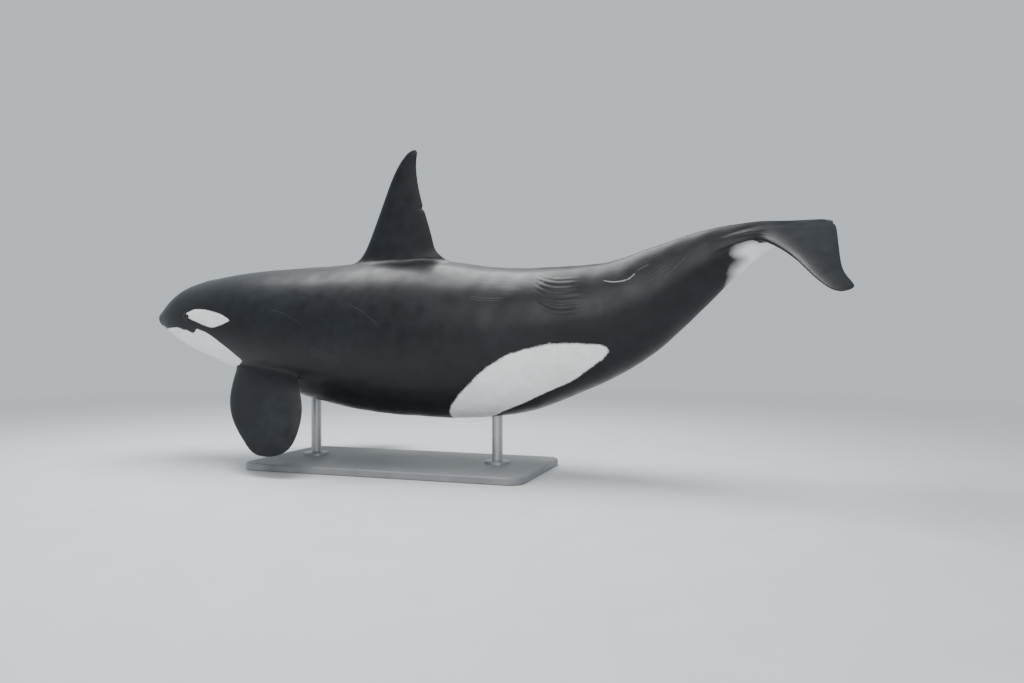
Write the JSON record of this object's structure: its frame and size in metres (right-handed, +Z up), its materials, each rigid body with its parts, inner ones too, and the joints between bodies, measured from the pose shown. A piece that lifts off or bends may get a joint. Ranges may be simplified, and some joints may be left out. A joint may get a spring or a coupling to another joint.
{
  "type": "orca model on a display stand",
  "caption": "Life-size still model of a swimming orca, tail raised and body banked, on a flat base with two short rods.",
  "frame": {"origin": "centre of the underside of the stand's base, on the floor", "axes": "+Z up, +X along the body towards the tail, the head points to -X, the left side faces -Y"},
  "size_m": [6.1397, 2.0961, 2.6871],
  "materials": {
    "skin": "smooth wet black and white skin, satin to glossy",
    "eye": "dark brown, wet gloss",
    "stand_base": "satin grey paint",
    "stand_rod": "brushed"
  },
  "bodies": {
    "root": {"head": "skin", "lower_jaw": "skin", "eye_left": "eye", "eye_right": "eye", "neck": "skin", "chest": "skin", "torso_middle": "skin", "torso_rear": "skin", "tail_stock": "skin", "dorsal_fin": "skin", "flipper_left": "skin", "flipper_right": "skin", "fluke_left": "skin", "fluke_right": "skin", "stand_base": "stand_base", "stand_rod_front": "stand_rod", "stand_rod_rear": "stand_rod"}
  },
  "joints": []
}
